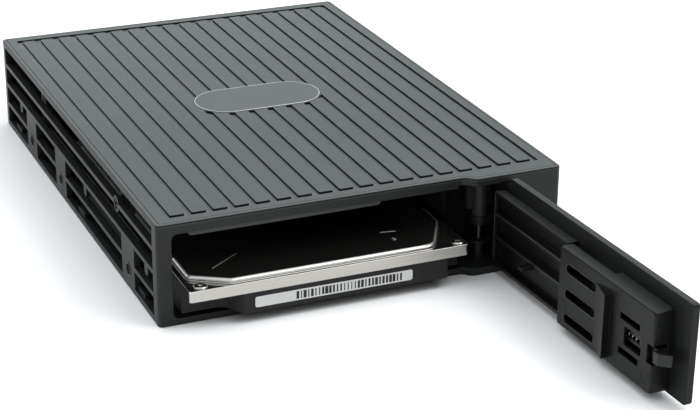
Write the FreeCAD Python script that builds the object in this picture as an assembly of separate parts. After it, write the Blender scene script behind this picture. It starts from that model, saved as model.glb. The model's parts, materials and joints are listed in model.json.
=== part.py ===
import FreeCAD, Part
import math
import os

# A rack for one small drive in a 3.5 inch bay. Everything is drawn from the left front
# bottom corner of the rack (X right, Y back, Z up) with the door shut, and is moved to the
# middle of the base when it is written. Door and latch are swung open before that.
# Sizes are in millimetres.

# The drive, and how it stands in the bay
drive_w = 69.85
drive_l = 100.2
drive_z = 2.8
drive_out = 6.0
drive_travel = 12.5
drive_side_gap = 0.23

# Moulded shell of the rack
height = 25.4
length = 143.2
side_wall = 1.8
floor = 1.0
rear_wall = 2.0
corner_r = 1.2
edge_r = 0.3
front_frame = 1.5
post_w = 3.5
top_bar = 2.65
lip_h = 1.7
opening_r = 1.5
guide_room = 2.05
guide_t = 1.4
guide_h = 9.6
guide_y0 = 16.0
guide_l = 90.0
right_guide_t = 0.55
rest_rib_w = 2.0
rest_rib_in = 5.0
rest_gap = 0.05
partition_t = 1.5
partition_y0 = 3.0

# Pad strip that hangs behind the top bar of the front
pad_x0 = 7.5
pad_w = 47.6
pad_drop = 1.0
pad_t = 1.0
pad_back = 0.4
pad_r = 1.1

# Side lattice and bay holes
row_count = 4
open_rows = 2
lattice_bar = 1.1
lattice_z0 = 1.7
lattice_top = 1.6
lattice_y0 = 3.5
lattice_rear = 3.0
pillar_w = 10.0
hole_r = 1.3
hole_z = 5.0
first_hole_y = 23.2
hole_pitch = 60.0
last_pitch = 30.0
hole_boss_r = 3.0
hole_boss_t = 1.2
hole_sink_r = 2.0
hole_sink_d = 0.5
tab_ys = (11.0, 62.0, 127.0)
tab_w = 2.4
tab_l = 3.7
tab_t = 1.1
tab_r = 0.9
sill_off = 1.6
sill_l = 5.5
sill_h = 1.1

# Rear window
window_x0 = 10.8
window_w = 60.0
window_z0 = 4.0
window_h = 17.0
window_r = 2.0

# Ribbed top cover, let into the rim of the shell
cover_t = 1.4
rim = 0.9
seam = 0.15
field_border = 3.4
field_depth = 0.65
rib_pitch = 5.2
rib_w = 3.5
rib_gap = 1.25
rib_r = 0.4
badge_w = 34.2
badge_d = 17.3
badge_y = 70.75
badge_t = 0.45
badge_seat = 0.3
badge_rim = 0.35
badge_edge = 0.15

# Side screws of the top cover
lug_y = 31.4
lug_w = 5.0
lug_t = 2.2
lug_below = 2.3
lug_gap = 0.05
boss_r = 2.0
cover_head_r = 1.4
cover_head_t = 0.7
cover_head_in = 0.2
cover_shank_r = 0.8
cover_shank_l = 2.6
screw_gap = 0.04
screw_slot_w = 0.5
screw_slot_d = 0.35

# Hinge section on the right of the front
hinge_room = 5.1
hinge_y = 3.5
socket_r = 8.3
socket_wall = 1.5
channel_w = 7.29
nose_run = 2.1
nose_r = 2.2
nose_in = 0.45
nose_lip = 1.9
nose_sill = 2.0
pin_r = 0.55
pin_seat = 0.6
pin_fit = 0.02
barrel_r = 2.0
barrel_h = 9.75
web_w = 6.2
web_t = 1.6
web_h = 8.2
boss_h = 4.0
low_boss_r = 1.2

# Door panel
open_deg = 92.3
door_gap = 0.2
panel_t = 1.9
panel_z0 = 1.5
panel_r = 0.9
panel_edge = 0.4
panel_end = 1.1
tab_gap = 0.3
collar_r = 2.05
collar_h = 2.25
collar_gap = 0.15
arm_w = 3.0
low_collar_r = 1.9
low_collar_h = 0.95
low_arm_w = 2.0
bore_fit = 0.05

# Tray and latch box on the inside of the door
tray_d = 2.7
tray_z0 = 2.2
tray_top = 1.3
tray_wall = 1.0
tray_floor = 1.0
tray_end = 1.2
tray_rib_t = 1.0
tray_rib_z = (9.1, 15.0)
tray_x0 = 44.3
box_x0 = 6.5
box_d = 4.7
box_z0 = 2.0
box_top = 1.3
box_wall = 1.0
box_r = 0.9
vent_x0 = 28.8
vent_w = 12.5
vent_h = 2.4
vent_z = 11.0
vent_pitch = 6.15
wedge_x0 = 23.1
wedge_w = 6.0
wedge_rise = 1.7
wedge_z0 = 3.2
wedge_h = 15.4
peek_x0 = 11.0
peek_w = 6.4
peek_h = 4.3
peek_r = 0.5
slit_x0 = 11.8
slit_w = 7.5
slit_h = 1.5
slit_off = 4.1
notch_w = 2.2
notch_h = 4.4
notch_d = 3.6
relief_w = 18.0
relief_d = 1.7
fin_x0 = 58.6
fin_w = 2.0
fin_t = 0.8
fin_z = 8.8
fin_l = 3.0

# Latch in the box
latch_z = 11.3
latch_h = 2.8
latch_reach = 2.9
latch_tip = 0.5
latch_ramp = 2.0
latch_back = 1.9
latch_head_l = 3.6
latch_body_x1 = 19.0
latch_body_y0 = 1.2
latch_body_t = 2.1
latch_travel = 1.8
pocket_r = 1.15
pocket_d = 6.0
spring_wire_r = 0.2
spring_r = 0.78
spring_turns = 6
spring_end = 0.02
stop_t = 1.2
stop_x0 = 22.0
stop_h = 5.0
button_x0 = 12.0
button_w = 11.0
button_h = 7.0
button_t = 0.9
button_gap = 0.1
button_side = 1.0
button_r = 0.8
grip_count = 4
grip_w = 0.8
grip_h = 0.5
grip_pitch = 2.0
stem_x0 = 14.5
stem_w = 3.0
stem_h = 2.0
stem_gap = 0.3

# The drive's casting, cover and small pieces
skirt_z = 5.2
skirt_t = 0.5
skirt_fit = 0.02
plate_z = 8.0
plate_t = 0.6
plate_r = 0.8
cast_in = 0.4
cast_setback = 6.1
cast_left = 13.3
cast_left_run = 3.5
cast_right = 5.2
cast_right_run = 2.4
dome_h = 1.1
dome_skin = 0.6
dome_edge = 0.9
dome_left = 1.42
dome_right = 1.63
dome_front = 0.8
dome_left_cut = 8.9
dome_left_run = 5.6
dome_right_cut = 6.9
dome_right_run = 12.4
dome_rear = 4.4
dome_r = 2.0
dome_front_r = 1.5
dome_nose_r = 4.0
dome_side_r = 6.0
dot_head_r = 1.7
dot_head_t = 0.45
dot_shank_r = 0.6
dot_shank_l = 1.6
dot_star_r = 0.75
dot_star_d = 0.3
dot_left = 3.3
dot_right = 2.0
dot_front = 2.2
dot_rear = 2.2
plug_x0 = 2.9
plug_w = 37.0
plug_room = 6.5
plug_z0 = 0.6
plug_h = 5.0
plug_side = 0.5
plug_strip_h = 4.0
plug_strip_d = 2.0
tongue_side = 2.5
tongue_z = 2.0
tongue_t = 1.2
tongue_end = 0.3
pcb_t = 1.0
pcb_side = 4.0
pcb_front = 45.0
pcb_gap = 0.2
label_x0 = 15.8
label_w = 39.5
label_z = 1.2
label_h = 2.65
label_t = 0.12
label_r = 0.5

# Board and sockets behind the drive
board_room = 6.3
board_t = 1.6
board_z0 = 2.0
board_h = 19.0
board_side = 0.6
post_x0 = 3.6
post_size = 4.0
post_l = 3.5
post_h = 18.0
right_post_x0 = 64.0
board_screw_z = 17.0
board_head_r = 1.8
board_head_t = 1.1
board_shank_r = 0.9
board_shank_l = 4.6
socket_gap = 0.3
socket_side = 0.9
socket_z = 0.7
socket_h = 3.9
slot_gap = 0.4
slot_d = 5.0
data_x0 = 14.0
data_w = 13.8
power_x0 = 31.0
power_w = 22.4
port_z0 = 6.0
port_h = 5.4
port_l = 8.0
port_wall = 0.9
port_d = 6.5
port_key_t = 1.2
port_key_side = 2.0

# Places worked out from the sizes above
drive_x0 = side_wall + guide_room + guide_t + drive_side_gap
drive_x1 = drive_x0 + drive_w
drive_y0 = -drive_out
drive_y1 = drive_y0 + drive_l
board_y = drive_y1 + drive_travel + board_room
partition_x0 = drive_x1 + drive_side_gap + right_guide_t
partition_x1 = partition_x0 + partition_t
hinge_x = partition_x1 + hinge_room
socket_x1 = hinge_x + socket_r + socket_wall
socket_y1 = hinge_y + socket_r
width = socket_x1 + channel_w + side_wall
step = door_gap + panel_t
opening_top = height - top_bar
cover_z = height - cover_t
nose_top = height - nose_lip
nose_x = partition_x0 + nose_in
panel_y0 = -step
panel_y1 = -door_gap
panel_x1 = partition_x0 - panel_end
barrel_z = nose_top - barrel_h
tray_x1 = partition_x0 + tray_end
tray_y1 = panel_y1 + tray_d
tray_z1 = opening_top - tray_top
box_y1 = panel_y1 + box_d
box_z1 = opening_top - box_top
latch_z0 = latch_z - latch_h / 2
skirt_z0 = drive_z + skirt_z
plate_z1 = drive_z + plate_z
plate_z0 = plate_z1 - plate_t
plug_x = drive_x0 + plug_x0
plug_y = drive_y1 - plug_room
lattice_z1 = height - lattice_top
slot_h = (lattice_z1 - lattice_z0 - (row_count - 1) * lattice_bar) / row_count
lug_z = lattice_z1 - slot_h - lattice_bar / 2
hole_ys = (first_hole_y, first_hole_y + hole_pitch, first_hole_y + hole_pitch + last_pitch)
post_xs = (post_x0, right_post_x0)

V = FreeCAD.Vector
over = 1.0


def box(x0, x1, y0, y1, z0, z1):
    return Part.makeBox(x1 - x0, y1 - y0, z1 - z0, V(x0, y0, z0))


def rod(x, y, z, r, h, axis):
    return Part.makeCylinder(r, h, V(x, y, z), axis)


ALONG_X = V(1, 0, 0)
ALONG_Y = V(0, 1, 0)
ALONG_Z = V(0, 0, 1)


def rounded(shape, r, axis):
    """Round every straight edge that runs along the axis."""
    picked = []
    for e in shape.Edges:
        run = e.Vertexes[-1].Point - e.Vertexes[0].Point
        if run.cross(axis).Length < 1e-6 and run.Length > 1e-6:
            picked.append(e)
    return shape.makeFillet(r, picked)


def path_face(points):
    """A flat face from corners (x, y, radius), each corner rounded by its radius."""
    edges = []
    starts = []
    ends = []
    count = len(points)
    for i, (x, y, r) in enumerate(points):
        here = V(x, y, 0)
        back = V(points[i - 1][0], points[i - 1][1], 0) - here
        on = V(points[(i + 1) % count][0], points[(i + 1) % count][1], 0) - here
        back.normalize()
        on.normalize()
        half = back.getAngle(on) / 2
        reach = r / math.tan(half)
        starts.append(here + back * reach)
        ends.append(here + on * reach)
        if r > 0:
            middle = back + on
            middle.normalize()
            centre = here + middle * (r / math.sin(half))
            edges.append(Part.Arc(starts[i], centre - middle * r, ends[i]).toShape())
    for i in range(count):
        a = ends[i]
        b = starts[(i + 1) % count]
        if (b - a).Length > 1e-6:
            edges.append(Part.makeLine(a, b))
    return Part.Face(Part.Wire(Part.__sortEdges__(edges)))


def prism(points, z0, z1):
    face = path_face(points)
    face.translate(V(0, 0, z0))
    return face.extrude(V(0, 0, z1 - z0))


def joined(first, *others):
    return first.multiFuse(list(others)).removeSplitter()


def shell_plan(inset):
    """Plan of the shell with the stepped nose of the hinge section, drawn in by inset."""
    turn = math.tan(math.atan2(step, nose_run) / 2)
    r = max(corner_r - inset, edge_r)
    return [
        (inset, inset, r),
        (nose_x + turn * inset, inset, nose_r + inset),
        (nose_x + nose_run + turn * inset, inset - step, nose_r - inset),
        (width - inset, inset - step, r),
        (width - inset, length - inset, r),
        (inset, length - inset, r),
    ]


def edges_at(shape, z):
    """Edges that lie wholly at the height z."""
    return [e for e in shape.Edges
            if abs(e.BoundBox.ZMin - z) < 1e-6 and abs(e.BoundBox.ZMax - z) < 1e-6]


def side_slots():
    """Openings of the side lattice: whole rows above, rows parted by pillars below."""
    y1 = length - lattice_rear
    stops = [lattice_y0]
    for y in hole_ys:
        stops += [y - pillar_w / 2, y + pillar_w / 2]
    stops.append(y1)
    slots = []
    for row in range(row_count):
        z0 = lattice_z1 - slot_h - row * (slot_h + lattice_bar)
        runs = [(lattice_y0, y1)]
        if row >= open_rows:
            runs = list(zip(stops[0::2], stops[1::2]))
        for y0, y2 in runs:
            slots.append(box(-over, side_wall + over / 2, y0, y2, z0, z0 + slot_h))
    return slots


def side_tabs():
    """Round-ended tabs that hang in the third row, and the raised sills beside them in the fourth."""
    x0 = side_wall - tab_t
    tab_z = lattice_z1 - open_rows * (slot_h + lattice_bar)
    made = []
    for y in tab_ys:
        tab = box(x0, side_wall, y - tab_w / 2, y + tab_w / 2, tab_z - tab_l, tab_z + lattice_bar)
        made.append(rounded(tab, tab_r, ALONG_X).common(box(0, width, 0, length, 0, tab_z + lattice_bar / 2)))
        made.append(box(x0, side_wall, y + sill_off, y + sill_off + sill_l, 0, lattice_z0 + sill_h))
    return made


def both_sides(shapes):
    """The shapes, and the same shapes mirrored to the right wall."""
    return shapes + [s.mirror(V(width / 2, 0, 0), ALONG_X) for s in shapes]


def chassis():
    body = prism(shell_plan(0), 0, height)
    body = body.makeFillet(edge_r, edges_at(body, height) + edges_at(body, 0))
    seat = prism(shell_plan(rim), cover_z, height + over)
    bay = box(side_wall, partition_x0, front_frame, length - rear_wall, floor, height + over)
    front = rounded(
        box(post_w, partition_x0 + over, -over, front_frame + over, lip_h, opening_top), opening_r, ALONG_Y)
    front = front.common(box(0, partition_x0, -over, front_frame + over, 0, height))
    channel = box(partition_x1, width - side_wall, socket_y1 + socket_wall, length - rear_wall,
                  floor, height + over)
    pocket = box(socket_x1, width - side_wall, 0, socket_y1 + socket_wall + over, floor, height + over)
    mouth = box(partition_x0 - over, hinge_x, -step - over, partition_y0, nose_sill, nose_top)
    room = box(partition_x1, hinge_x, 0, socket_y1, nose_sill, nose_top)
    socket = rod(hinge_x, hinge_y, nose_sill, socket_r, nose_top - nose_sill, ALONG_Z)
    window = rounded(
        box(window_x0, window_x0 + window_w, length - rear_wall - over, length + over,
            window_z0, window_z0 + window_h), window_r, ALONG_Y)
    body = body.cut([seat, bay, front, channel, pocket, mouth, room, socket, window])
    body = body.cut(both_sides(side_slots()))

    guide_x = drive_x0 - drive_side_gap - guide_t
    guide_y1 = guide_y0 + guide_l
    guide_z1 = floor + guide_h
    pad_y1 = pad_back + pad_t
    pad = box(pad_x0, pad_x0 + pad_w, pad_back, pad_y1, opening_top - pad_drop, height)
    pad = rounded(pad, pad_r, ALONG_Y)
    pad = pad.common(box(0, width, 0, length, 0, (opening_top + cover_z) / 2))
    added = [
        pad,
        box(guide_x, guide_x + guide_t, guide_y0, guide_y1, floor, guide_z1),
        box(drive_x1 + drive_side_gap, partition_x0, guide_y0, guide_y1, floor, guide_z1),
        rod(hinge_x, hinge_y, barrel_z, barrel_r, barrel_h, ALONG_Z),
        box(hinge_x - web_w / 2, hinge_x + web_w / 2, hinge_y, hinge_y + web_t, nose_top - web_h, nose_top),
        rod(hinge_x, hinge_y, nose_sill, low_boss_r, boss_h, ALONG_Z),
    ]
    for x in (drive_x0 + rest_rib_in, drive_x1 - rest_rib_in - rest_rib_w):
        added.append(box(x, x + rest_rib_w, guide_y0, guide_y1, floor, drive_z - rest_gap))
    for x in post_xs:
        added.append(box(x, x + post_size, board_y - post_l, board_y, floor, floor + post_h))
    bosses = [rod(side_wall, y, hole_z, hole_boss_r, hole_boss_t, ALONG_X) for y in hole_ys]
    bosses.append(rod(0, lug_y, lug_z, boss_r, side_wall, ALONG_X))
    body = joined(body, *added, *both_sides(bosses + side_tabs()))

    holes = [rod(-over, y, hole_z, hole_r, side_wall + hole_boss_t + 2 * over, ALONG_X) for y in hole_ys]
    for y in hole_ys:
        holes.append(Part.makeCone(hole_sink_r, hole_r, hole_sink_d, V(0, y, hole_z), ALONG_X))
    holes.append(rod(-over, lug_y, lug_z, cover_shank_r + screw_gap, side_wall + 2 * over, ALONG_X))
    sunk = cover_head_in + cover_head_t
    holes.append(rod(-over, lug_y, lug_z, cover_head_r + screw_gap, over + sunk, ALONG_X))
    cuts = both_sides(holes)
    cuts.append(rod(hinge_x, hinge_y, pin_seat, pin_r + pin_fit, cover_z - pin_seat - pin_fit, ALONG_Z))
    for x in post_xs:
        cuts.append(rod(x + post_size / 2, board_y - post_l - over, board_screw_z,
                        board_shank_r + screw_gap, post_l + 2 * over, ALONG_Y))
    return body.cut(cuts)


def top_cover():
    plate = prism(shell_plan(rim + seam), cover_z, height)
    x0 = field_border
    x1 = width - field_border
    y0 = field_border
    y1 = length - field_border
    z0 = height - field_depth
    field = rounded(box(x0, x1, y0, y1, z0, height + over), rib_r, ALONG_Z)
    count = int((x1 - x0 - 2 * rib_gap - rib_w) / rib_pitch) + 1
    first = (x0 + x1 - (count - 1) * rib_pitch - rib_w) / 2
    kept = []
    for i in range(count):
        x = first + i * rib_pitch
        rib = box(x, x + rib_w, y0 + rib_gap, y1 - rib_gap, z0 - over, height + 2 * over)
        kept.append(rounded(rib, rib_r, ALONG_Z))
    kept.append(prism(badge_plan(badge_rim), z0 - over, height + 2 * over))
    plate = plate.cut(field.cut(kept))
    plate = plate.cut(prism(badge_plan(seam), height - badge_seat, height + over))
    lug_x = side_wall + lug_gap
    lug = box(lug_x, lug_x + lug_t, lug_y - lug_w / 2, lug_y + lug_w / 2, lug_z - lug_below, cover_z)
    hole = rod(lug_x - over, lug_y, lug_z, cover_shank_r + screw_gap, lug_t + 2 * over, ALONG_X)
    return joined(plate, *both_sides([lug])).cut(both_sides([hole]))


def badge_plan(grow):
    """Stadium outline of the badge, let out by grow."""
    half_w = badge_w / 2 + grow
    half_d = badge_d / 2 + grow
    r = half_d - seam / 2
    x = width / 2
    return [
        (x - half_w, badge_y - half_d, r),
        (x + half_w, badge_y - half_d, r),
        (x + half_w, badge_y + half_d, r),
        (x - half_w, badge_y + half_d, r),
    ]


def badge_plate():
    z0 = height - badge_seat
    plate = prism(badge_plan(0), z0, z0 + badge_t)
    return plate.makeChamfer(badge_edge, edges_at(plate, z0 + badge_t))


def cover_screws():
    head = rod(cover_head_in, lug_y, lug_z, cover_head_r, cover_head_t, ALONG_X)
    shank = rod(cover_head_in, lug_y, lug_z, cover_shank_r, cover_head_t + cover_shank_l, ALONG_X)
    slot = box(cover_head_in - over, cover_head_in + screw_slot_d,
               lug_y - cover_head_r, lug_y + cover_head_r,
               lug_z - screw_slot_w / 2, lug_z + screw_slot_w / 2)
    cross = slot.copy()
    cross.rotate(V(0, lug_y, lug_z), ALONG_X, 90)
    return Part.makeCompound(both_sides([joined(head, shank).cut([slot, cross])]))


def hinge_pin():
    return rod(hinge_x, hinge_y, pin_seat, pin_r, cover_z - pin_seat - 2 * pin_fit, ALONG_Z)


def backplane_board():
    x0 = side_wall + hole_boss_t + board_side
    plate = box(x0, partition_x0 - board_side, board_y, board_y + board_t, board_z0, board_z0 + board_h)
    holes = []
    for x in post_xs:
        holes.append(rod(x + post_size / 2, board_y - over, board_screw_z,
                         board_shank_r + screw_gap, board_t + 2 * over, ALONG_Y))
    return plate.cut(holes)


def board_screws():
    made = []
    y = board_y + board_t
    for x in post_xs:
        middle = x + post_size / 2
        head = rod(middle, y, board_screw_z, board_head_r, board_head_t, ALONG_Y)
        shank_l = board_shank_l + board_head_t
        shank = rod(middle, y - board_shank_l, board_screw_z, board_shank_r, shank_l, ALONG_Y)
        slot = box(middle - board_head_r, middle + board_head_r,
                   y + board_head_t - screw_slot_d, y + board_head_t + over,
                   board_screw_z - screw_slot_w / 2, board_screw_z + screw_slot_w / 2)
        cross = slot.copy()
        cross.rotate(V(middle, 0, board_screw_z), ALONG_Y, 90)
        made.append(joined(head, shank).cut([slot, cross]))
    return Part.makeCompound(made)


def drive_socket():
    y0 = drive_y1 + drive_travel - plug_room + plug_strip_d + socket_gap
    z0 = drive_z + socket_z
    x0 = plug_x + socket_side
    x1 = plug_x + plug_w - socket_side
    body = box(x0, x1, y0, board_y, z0, z0 + socket_h)
    zt = drive_z + tongue_z
    slot = box(plug_x + tongue_side - slot_gap, plug_x + plug_w - tongue_side + slot_gap,
               y0 - over, y0 + slot_d, zt - slot_gap, zt + tongue_t + slot_gap)
    return body.cut(slot)


def port(x0, w):
    """A shrouded plug on the back of the board, with its key tongue inside."""
    y0 = board_y + board_t
    shell = box(x0, x0 + w, y0, y0 + port_l, port_z0, port_z0 + port_h)
    hollow = box(x0 + port_wall, x0 + w - port_wall, y0 + port_l - port_d, y0 + port_l + over,
                 port_z0 + port_wall, port_z0 + port_h - port_wall)
    z = port_z0 + port_h / 2 - port_key_t / 2
    key = box(x0 + port_key_side, x0 + w - port_key_side, y0 + port_l - port_d, y0 + port_l - port_wall,
              z, z + port_key_t)
    hook = box(x0 + port_key_side, x0 + port_key_side + port_key_t, y0 + port_l - port_d,
               y0 + port_l - port_wall, port_z0 + port_wall, z)
    return joined(shell.cut(hollow), key, hook)


def door_panel():
    plate = box(door_gap, panel_x1, panel_y0, panel_y1, panel_z0, height - door_gap)
    plate = rounded(plate, panel_r, ALONG_Y)
    outer = [e for e in plate.Edges if abs(e.BoundBox.YMax - panel_y0) < 1e-6]
    plate = plate.makeFillet(panel_edge, outer)
    z0 = nose_sill + tab_gap
    z1 = nose_top - tab_gap
    tab = box(panel_x1 - panel_edge, hinge_x, panel_y0, panel_y1, z0, z1)
    tail = box(hinge_x, hinge_x + socket_r, panel_y0, panel_y1, z0, z1)
    tail = tail.common(rod(hinge_x, hinge_y, z0, socket_r - tab_gap, z1 - z0, ALONG_Z))
    collar_z = barrel_z - collar_gap - collar_h
    low_z = nose_sill + boss_h + collar_gap
    arms = [
        rod(hinge_x, hinge_y, collar_z, collar_r, collar_h, ALONG_Z),
        box(hinge_x - arm_w / 2, hinge_x + arm_w / 2, panel_y1, hinge_y, collar_z, collar_z + collar_h),
        rod(hinge_x, hinge_y, low_z, low_collar_r, low_collar_h, ALONG_Z),
        box(hinge_x - low_arm_w / 2, hinge_x + low_arm_w / 2, panel_y1, hinge_y,
            low_z, low_z + low_collar_h),
    ]
    body = joined(plate, tab, tail, *arms)
    well = box(button_x0 - button_side, button_x0 + button_w + latch_travel + button_side,
               panel_y0 - over, panel_y0 + button_t + button_gap,
               latch_z - button_h / 2 - button_side, latch_z + button_h / 2 + button_side)
    well = rounded(well, button_r, ALONG_Y)
    slot = box(stem_x0 - stem_gap, stem_x0 + stem_w + latch_travel + stem_gap, panel_y0 - over, over,
               latch_z - stem_h / 2 - stem_gap, latch_z + stem_h / 2 + stem_gap)
    bore = rod(hinge_x, hinge_y, 0, pin_r + bore_fit, height, ALONG_Z)
    return body.cut([well, slot, bore])


def tray():
    """Shallow tray beside the hinge, with two ribs across it."""
    body = box(tray_x0, tray_x1, panel_y1, tray_y1, tray_z0, tray_z1)
    z = [tray_z0 + tray_wall]
    for rib in tray_rib_z:
        z += [rib, rib + tray_rib_t]
    z.append(tray_z1 - tray_wall)
    for z0, z1 in zip(z[0::2], z[1::2]):
        body = body.cut(box(tray_x0, tray_x1 - tray_wall, panel_y1 + tray_floor, tray_y1 + over, z0, z1))
    return body


def latch_box():
    """Deeper hollow box that covers the latch, with its vents, peek window and slits."""
    body = box(box_x0, tray_x0, panel_y1, box_y1, box_z0, box_z1)
    body = rounded(body, box_r, ALONG_Y)
    face = [e for e in body.Edges if abs(e.BoundBox.YMin - box_y1) < 1e-6]
    body = body.makeFillet(box_r / 2, face)
    y2 = box_y1 + over
    cuts = [box(box_x0 + box_wall, tray_x0 - box_wall, panel_y1 - over, box_y1 - box_wall,
                box_z0 + box_wall, box_z1 - box_wall)]
    for i in (-1, 0, 1):
        z = vent_z + i * vent_pitch
        vent = box(vent_x0, vent_x0 + vent_w, panel_y1, y2, z - vent_h / 2, z + vent_h / 2)
        cuts.append(rounded(vent, vent_h / 2 - seam, ALONG_Y))
    peek = box(peek_x0, peek_x0 + peek_w, panel_y1, y2, latch_z - peek_h / 2, latch_z + peek_h / 2)
    cuts.append(rounded(peek, peek_r, ALONG_Y))
    for z in (latch_z - slit_off, latch_z + slit_off):
        cuts.append(box(slit_x0, slit_x0 + slit_w, panel_y1, y2, z - slit_h / 2, z + slit_h / 2))
    cuts.append(box(box_x0 - over, box_x0 + notch_w, box_y1 - notch_d, y2,
                    latch_z - notch_h / 2, latch_z + notch_h / 2))
    cuts.append(box(tray_x0 - relief_w, tray_x0, panel_y1 - over, panel_y1 + relief_d,
                    box_z1 - box_wall - over, box_z1 + over))
    return body.cut(cuts)


def door_inner_cover():
    wedge = prism([
        (wedge_x0, box_y1 - box_wall / 2, 0),
        (wedge_x0 + wedge_w, box_y1 - box_wall / 2, 0),
        (wedge_x0 + wedge_w, box_y1, 0),
        (wedge_x0, box_y1 + wedge_rise, 0),
    ], wedge_z0, wedge_z0 + wedge_h)
    fin = box(fin_x0, fin_x0 + fin_w, panel_y1 + tray_floor, tray_y1 + fin_l, fin_z, fin_z + fin_t)
    stop = box(stop_x0, stop_x0 + stop_t, panel_y1, box_y1 - box_wall / 2,
               latch_z - stop_h / 2, latch_z + stop_h / 2)
    return joined(tray(), latch_box(), wedge, fin, stop)


def latch_slider():
    y0 = latch_back
    y1 = y0 + latch_tip
    x1 = latch_reach + latch_head_l
    plan = prism([
        (latch_reach, y0, 0),
        (x1, y0, 0),
        (x1, latch_body_y0, 0),
        (latch_body_x1, latch_body_y0, 0),
        (latch_body_x1, latch_body_y0 + latch_body_t, 0),
        (x1, latch_body_y0 + latch_body_t, 0),
        (x1, y1 + latch_ramp, 0),
        (latch_reach + latch_ramp, y1 + latch_ramp, 0),
        (latch_reach, y1, 0),
    ], latch_z0, latch_z0 + latch_h)
    y = latch_body_y0 + latch_body_t / 2
    return plan.cut(rod(latch_body_x1 - pocket_d, y, latch_z, pocket_r, pocket_d + over, ALONG_X))


def latch_spring():
    """Small coil between the slider's pocket and the stop in the box."""
    x0 = latch_body_x1 - pocket_d + spring_end
    run = stop_x0 - spring_end - x0
    y = latch_body_y0 + latch_body_t / 2
    pitch = (run - 2 * spring_wire_r) / spring_turns
    helix = Part.makeHelix(pitch, pitch * spring_turns, spring_r)
    ring = Part.Wire(Part.makeCircle(spring_wire_r, V(spring_r, 0, 0), ALONG_Y))
    coil = Part.Wire(helix.Edges).makePipeShell([ring], True, True)
    coil.rotate(V(0, 0, 0), ALONG_Y, 90)
    coil.translate(V(x0 + spring_wire_r, y, latch_z))
    return coil


def latch_button():
    z0 = latch_z - button_h / 2
    plate = box(button_x0, button_x0 + button_w, panel_y0, panel_y0 + button_t, z0, z0 + button_h)
    plate = rounded(plate, button_r, ALONG_Y)
    added = [box(stem_x0, stem_x0 + stem_w, panel_y0, latch_body_y0,
                 latch_z - stem_h / 2, latch_z + stem_h / 2)]
    first = button_x0 + (button_w - (grip_count - 1) * grip_pitch - grip_w) / 2
    for i in range(grip_count):
        x = first + i * grip_pitch
        added.append(box(x, x + grip_w, panel_y0 - grip_h, panel_y0 + button_t,
                         z0 + button_r, z0 + button_h - button_r))
    return joined(plate, *added)


def cast_plan(y_front):
    """Plan of the drive's casting: a full-width back and a narrower nose in front."""
    back = drive_y0 + cast_setback
    return [
        (drive_x0, back, 0),
        (drive_x0 + cast_left - cast_left_run, back, cast_left_run),
        (drive_x0 + cast_left, y_front, plate_r),
        (drive_x1 - cast_right, y_front, plate_r),
        (drive_x1 - cast_right + cast_right_run, back, cast_right_run),
        (drive_x1, back, 0),
        (drive_x1, drive_y1, plate_r),
        (drive_x0, drive_y1, plate_r),
    ]


def lid_plan(inset):
    """Outline of the drive's stamped cover, drawn in by inset."""
    r = plate_r - inset
    return [
        (drive_x0 + inset, drive_y0 + inset, r),
        (drive_x1 - inset, drive_y0 + inset, r),
        (drive_x1 - inset, drive_y1 - inset, r),
        (drive_x0 + inset, drive_y1 - inset, r),
    ]


def dot_places():
    """Places of the small screws on the drive's cover."""
    return [
        (drive_x0 + dot_left, drive_y0 + dot_front),
        (drive_x1 - dot_right, drive_y0 + dot_front),
        (drive_x0 + dot_left, drive_y1 - dot_rear),
        (drive_x1 - dot_left, drive_y1 - dot_rear),
    ]


def dot_holes():
    z = plate_z1 - dot_shank_l - screw_gap
    return [rod(x, y, z, dot_shank_r + screw_gap, dot_shank_l + over, ALONG_Z) for x, y in dot_places()]


def fold(gap):
    """The cover's edge that is folded down over the front of the casting, let out inwards by gap."""
    front = box(drive_x0 - over, drive_x1 + over, drive_y0 - over, drive_y0 + plate_r, skirt_z0, plate_z0)
    return front.common(prism(lid_plan(0), skirt_z0, plate_z0)).cut(
        prism(lid_plan(skirt_t + gap), skirt_z0 - over, plate_z0 + over))


def drive_base():
    low = prism(cast_plan(drive_y0 + cast_in), drive_z, skirt_z0)
    high = prism(lid_plan(0), skirt_z0, plate_z0).cut(fold(skirt_fit))
    notch = box(plug_x, plug_x + plug_w, plug_y, drive_y1 + over, drive_z - over, drive_z + plug_h)
    under = box(drive_x0 + pcb_side, drive_x1 - pcb_side, drive_y0 + pcb_front, plug_y - pcb_gap,
                drive_z - over, drive_z + pcb_t + pcb_gap)
    return joined(low, high).cut([notch, under] + dot_holes())


def dome_plan(inset):
    """Outline of the raised dome, with both front corners cut away."""
    x0 = drive_x0 + dome_left + inset
    x1 = drive_x1 - dome_right - inset
    y0 = drive_y0 + dome_front + inset
    y1 = drive_y1 - dome_rear - inset
    return [
        (x0, y0 + dome_left_run, dome_r),
        (x0 + dome_left_cut, y0, dome_front_r),
        (x1 - dome_right_cut, y0, dome_nose_r),
        (x1, y0 + dome_right_run, dome_side_r),
        (x1, y1, dome_r),
        (x0, y1, dome_r),
    ]


def drive_top_cover():
    z1 = plate_z1 + dome_h
    plate = joined(prism(lid_plan(0), plate_z0, plate_z1), fold(0))
    dome = prism(dome_plan(0), plate_z0, z1)
    dome = dome.makeFillet(dome_edge, edges_at(dome, z1))
    hollow = prism(dome_plan(dome_skin), plate_z0 - over, z1 - dome_skin)
    return joined(plate, dome).cut([hollow] + dot_holes())


def drive_cover_screws():
    made = []
    for x, y in dot_places():
        head = rod(x, y, plate_z1, dot_head_r, dot_head_t, ALONG_Z)
        shank = rod(x, y, plate_z1 - dot_shank_l, dot_shank_r, dot_shank_l + dot_head_t, ALONG_Z)
        z = plate_z1 + dot_head_t - dot_star_d
        star = []
        for turn in (0, 60, 120):
            lobe = box(x - dot_star_r, x + dot_star_r, y - dot_star_r / 3, y + dot_star_r / 3, z, z + over)
            lobe.rotate(V(x, y, 0), ALONG_Z, turn)
            star.append(lobe)
        made.append(joined(head, shank).cut(star))
    return Part.makeCompound(made)


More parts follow.
